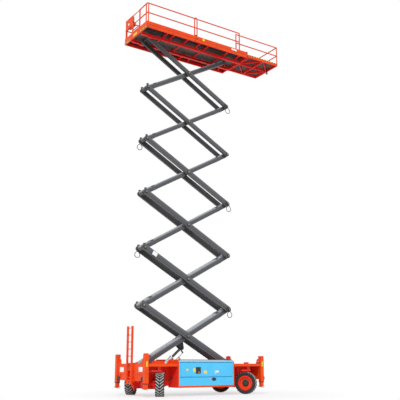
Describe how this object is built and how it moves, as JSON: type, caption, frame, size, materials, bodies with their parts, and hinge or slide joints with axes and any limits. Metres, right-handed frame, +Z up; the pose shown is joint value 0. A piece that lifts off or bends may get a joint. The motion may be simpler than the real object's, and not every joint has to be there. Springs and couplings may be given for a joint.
{
  "type": "scissor lift",
  "caption": "Large rough-terrain scissor lift, raised, with steered wheels, corner jacks, a hooded chassis and a railed platform with a roll-out extension deck.",
  "frame": {"origin": "on the ground under the middle of the whole machine's box, as it stands with its platform raised and its extension deck out", "axes": "+X towards the extension deck, -Y towards the side of the amber beacon, +Z up"},
  "size_m": [9.05, 3.548, 20.0699],
  "materials": {
    "orange_paint": "semi-gloss orange-red paint",
    "grey_paint": "satin dark grey paint",
    "blue_paint": "semi-gloss light blue paint",
    "tyre": "matt rubber",
    "hose": "smooth hose rubber",
    "chrome": "polished rod",
    "bright_steel": "silver paint over steel",
    "dark_panel": "dark deck plate",
    "brown_deck": "brown mesh deck",
    "cast_metal": "rough dark casting",
    "amber_lens": "amber lens",
    "red_lens": "red lens"
  },
  "bodies": {
    "chassis": {"chassis_frame": "orange_paint", "end_frame_rear": "orange_paint", "end_frame_front": "orange_paint", "ladder": "orange_paint", "hood_right": "blue_paint", "hood_left": "blue_paint", "engine": "cast_metal", "oil_tank": "bright_steel", "beacon_amber": "amber_lens", "beacon_red": "red_lens", "axle_rear": "cast_metal", "axle_front": "cast_metal"},
    "arm_inner_1": {"arm_inner_1": "grey_paint"},
    "arm_outer_1": {"arm_outer_1": "grey_paint"},
    "arm_inner_2": {"arm_inner_2": "grey_paint"},
    "arm_outer_2": {"arm_outer_2": "grey_paint", "hose_1": "hose", "hose_4": "hose"},
    "arm_inner_3": {"arm_inner_3": "grey_paint"},
    "arm_outer_3": {"arm_outer_3": "grey_paint"},
    "arm_inner_4": {"arm_inner_4": "grey_paint"},
    "arm_outer_4": {"arm_outer_4": "grey_paint", "hose_2": "hose", "hose_5": "hose"},
    "arm_inner_5": {"arm_inner_5": "grey_paint"},
    "arm_outer_5": {"arm_outer_5": "grey_paint"},
    "arm_inner_6": {"arm_inner_6": "grey_paint"},
    "arm_outer_6": {"arm_outer_6": "grey_paint", "hose_3": "hose"},
    "platform": {"platform_frame": "orange_paint", "platform_deck": "dark_panel", "guard_rail": "orange_paint", "control_box": "orange_paint"},
    "gate": {"gate": "orange_paint"},
    "extension": {"extension_frame": "orange_paint", "extension_deck": "brown_deck", "extension_rail": "orange_paint"},
    "lift_barrel": {"lift_barrel": "bright_steel"},
    "lift_rod": {"lift_rod": "chrome"},
    "knuckle_rear_right": {"knuckle_rear_right": "cast_metal"},
    "wheel_rear_right": {"rim_rear_right": "orange_paint", "tyre_rear_right": "tyre"},
    "knuckle_rear_left": {"knuckle_rear_left": "cast_metal"},
    "wheel_rear_left": {"rim_rear_left": "orange_paint", "tyre_rear_left": "tyre"},
    "knuckle_front_right": {"knuckle_front_right": "cast_metal"},
    "wheel_front_right": {"rim_front_right": "orange_paint", "tyre_front_right": "tyre"},
    "knuckle_front_left": {"knuckle_front_left": "cast_metal"},
    "wheel_front_left": {"rim_front_left": "orange_paint", "tyre_front_left": "tyre"},
    "door_right": {"door_right": "blue_paint"},
    "door_left": {"door_left": "blue_paint"},
    "jack_leg_rear_right": {"jack_leg_rear_right": "orange_paint"},
    "jack_leg_rear_left": {"jack_leg_rear_left": "orange_paint"},
    "jack_leg_front_right": {"jack_leg_front_right": "orange_paint"},
    "jack_leg_front_left": {"jack_leg_front_left": "orange_paint"}
  },
  "joints": [
    {"name": "lift", "type": "hinge", "parent": "chassis", "child": "arm_inner_1", "pos_m": [-3.88141, 0.0077, 1.42], "axis": [0, -1, 0], "range_deg": [-24.25, 12.75]},
    {"name": "scissor_outer_1", "type": "hinge", "parent": "arm_inner_1", "child": "arm_outer_1", "pos_m": [-1.325, 0.0077, 2.85166], "axis": [0, -1, 0], "range_deg": [-27, 50]},
    {"name": "scissor_inner_2", "type": "hinge", "parent": "arm_outer_1", "child": "arm_inner_2", "pos_m": [-3.88141, 0.0077, 4.28332], "axis": [0, -1, 0], "range_deg": [-50, 27]},
    {"name": "scissor_outer_2", "type": "hinge", "parent": "arm_inner_2", "child": "arm_outer_2", "pos_m": [-1.325, 0.0077, 5.71498], "axis": [0, -1, 0], "range_deg": [-27, 50]},
    {"name": "scissor_inner_3", "type": "hinge", "parent": "arm_outer_2", "child": "arm_inner_3", "pos_m": [-3.88141, 0.0077, 7.14664], "axis": [0, -1, 0], "range_deg": [-50, 27]},
    {"name": "scissor_outer_3", "type": "hinge", "parent": "arm_inner_3", "child": "arm_outer_3", "pos_m": [-1.325, 0.0077, 8.5783], "axis": [0, -1, 0], "range_deg": [-27, 50]},
    {"name": "scissor_inner_4", "type": "hinge", "parent": "arm_outer_3", "child": "arm_inner_4", "pos_m": [-3.88141, 0.0077, 10.00996], "axis": [0, -1, 0], "range_deg": [-50, 27]},
    {"name": "scissor_outer_4", "type": "hinge", "parent": "arm_inner_4", "child": "arm_outer_4", "pos_m": [-1.325, 0.0077, 11.44162], "axis": [0, -1, 0], "range_deg": [-27, 50]},
    {"name": "scissor_inner_5", "type": "hinge", "parent": "arm_outer_4", "child": "arm_inner_5", "pos_m": [-3.88141, 0.0077, 12.87328], "axis": [0, -1, 0], "range_deg": [-50, 27]},
    {"name": "scissor_outer_5", "type": "hinge", "parent": "arm_inner_5", "child": "arm_outer_5", "pos_m": [-1.325, 0.0077, 14.30494], "axis": [0, -1, 0], "range_deg": [-27, 50]},
    {"name": "scissor_inner_6", "type": "hinge", "parent": "arm_outer_5", "child": "arm_inner_6", "pos_m": [-3.88141, 0.0077, 15.7366], "axis": [0, -1, 0], "range_deg": [-50, 27]},
    {"name": "scissor_outer_6", "type": "hinge", "parent": "arm_inner_6", "child": "arm_outer_6", "pos_m": [-1.325, 0.0077, 17.16826], "axis": [0, -1, 0], "range_deg": [-27, 50]},
    {"name": "platform_level", "type": "hinge", "parent": "arm_outer_6", "child": "platform", "pos_m": [-3.88141, 0.0077, 18.59992], "axis": [0, -1, 0], "range_deg": [-25.75, 14.25]},
    {"name": "gate_hinge", "type": "hinge", "parent": "platform", "child": "gate", "pos_m": [-4.495, -0.3473, 19.59992], "axis": [0, 0, -1], "range_deg": [0, 90]},
    {"name": "extension_slide", "type": "slide", "parent": "platform", "child": "extension", "axis": [1, 0, 0], "range_m": [-2.2, 0]},
    {"name": "cylinder_swing", "type": "hinge", "parent": "chassis", "child": "lift_barrel", "pos_m": [-3.195, 0.0077, 0.82], "axis": [0, -1, 0], "range_deg": [-28.66, 15.78]},
    {"name": "cylinder_stroke", "type": "slide", "parent": "lift_barrel", "child": "lift_rod", "axis": [0.7591, 0, 0.6509], "range_m": [-0.3736, 0.1988]},
    {"name": "steer_rear", "type": "hinge", "parent": "chassis", "child": "knuckle_rear_right", "pos_m": [-3.535, -1.1363, 0.54699], "axis": [0, 0, 1], "range_deg": [-116, 0]},
    {"name": "roll_rear_right", "type": "hinge", "parent": "knuckle_rear_right", "child": "wheel_rear_right", "pos_m": [-3.41627, -1.21049, 0.54699], "axis": [-0.848, 0.5299, 0], "continuous": true},
    {"name": "steer_rear_left", "type": "hinge", "parent": "chassis", "child": "knuckle_rear_left", "pos_m": [-3.535, 1.1517, 0.54699], "axis": [0, 0, 1], "range_deg": [-92.8, 0]},
    {"name": "roll_rear_left", "type": "hinge", "parent": "knuckle_rear_left", "child": "wheel_rear_left", "pos_m": [-3.63638, 1.24825, 0.54699], "axis": [-0.7242, 0.6896, 0], "continuous": true},
    {"name": "steer_front", "type": "hinge", "parent": "chassis", "child": "knuckle_front_right", "pos_m": [1.735, -1.1363, 0.54699], "axis": [0, 0, 1], "range_deg": [0, 100]},
    {"name": "roll_front_right", "type": "hinge", "parent": "knuckle_front_right", "child": "wheel_front_right", "pos_m": [1.62775, -1.22629, 0.54699], "axis": [0.766, 0.6428, 0], "continuous": true},
    {"name": "steer_front_left", "type": "hinge", "parent": "chassis", "child": "knuckle_front_left", "pos_m": [1.735, 1.1517, 0.54699], "axis": [0, 0, 1], "range_deg": [0, 80]},
    {"name": "roll_front_left", "type": "hinge", "parent": "knuckle_front_left", "child": "wheel_front_left", "pos_m": [1.82499, 1.25895, 0.54699], "axis": [0.6428, 0.766, 0], "continuous": true},
    {"name": "door_right_hinge", "type": "hinge", "parent": "chassis", "child": "door_right", "pos_m": [-0.94, -1.4723, 1.535], "axis": [-1, 0, 0], "range_deg": [0, 80]},
    {"name": "door_left_hinge", "type": "hinge", "parent": "chassis", "child": "door_left", "pos_m": [-0.94, 1.4877, 1.535], "axis": [1, 0, 0], "range_deg": [0, 80]},
    {"name": "jack_rear_right", "type": "slide", "parent": "chassis", "child": "jack_leg_rear_right", "axis": [0, 0, -1], "range_m": [0, 0.6]},
    {"name": "jack_rear_left", "type": "slide", "parent": "chassis", "child": "jack_leg_rear_left", "axis": [0, 0, -1], "range_m": [0, 0.6]},
    {"name": "jack_front_right", "type": "slide", "parent": "chassis", "child": "jack_leg_front_right", "axis": [0, 0, -1], "range_m": [0, 0.6]},
    {"name": "jack_front_left", "type": "slide", "parent": "chassis", "child": "jack_leg_front_left", "axis": [0, 0, -1], "range_m": [0, 0.6]}
  ],
  "couplings": [
    {"joint": "scissor_outer_1", "follows": "lift", "ratio": -2},
    {"joint": "scissor_inner_2", "follows": "lift", "ratio": 2},
    {"joint": "scissor_outer_2", "follows": "lift", "ratio": -2},
    {"joint": "scissor_inner_3", "follows": "lift", "ratio": 2},
    {"joint": "scissor_outer_3", "follows": "lift", "ratio": -2},
    {"joint": "scissor_inner_4", "follows": "lift", "ratio": 2},
    {"joint": "scissor_outer_4", "follows": "lift", "ratio": -2},
    {"joint": "scissor_inner_5", "follows": "lift", "ratio": 2},
    {"joint": "scissor_outer_5", "follows": "lift", "ratio": -2},
    {"joint": "scissor_inner_6", "follows": "lift", "ratio": 2},
    {"joint": "scissor_outer_6", "follows": "lift", "ratio": -2},
    {"joint": "platform_level", "follows": "lift", "ratio": 1},
    {"joint": "cylinder_swing", "follows": "lift", "ratio": 1.12},
    {"joint": "cylinder_stroke", "follows": "lift", "m_per_rad": 0.871},
    {"joint": "steer_rear_left", "follows": "steer_rear", "ratio": 0.8},
    {"joint": "steer_front_left", "follows": "steer_front", "ratio": 0.8}
  ]
}
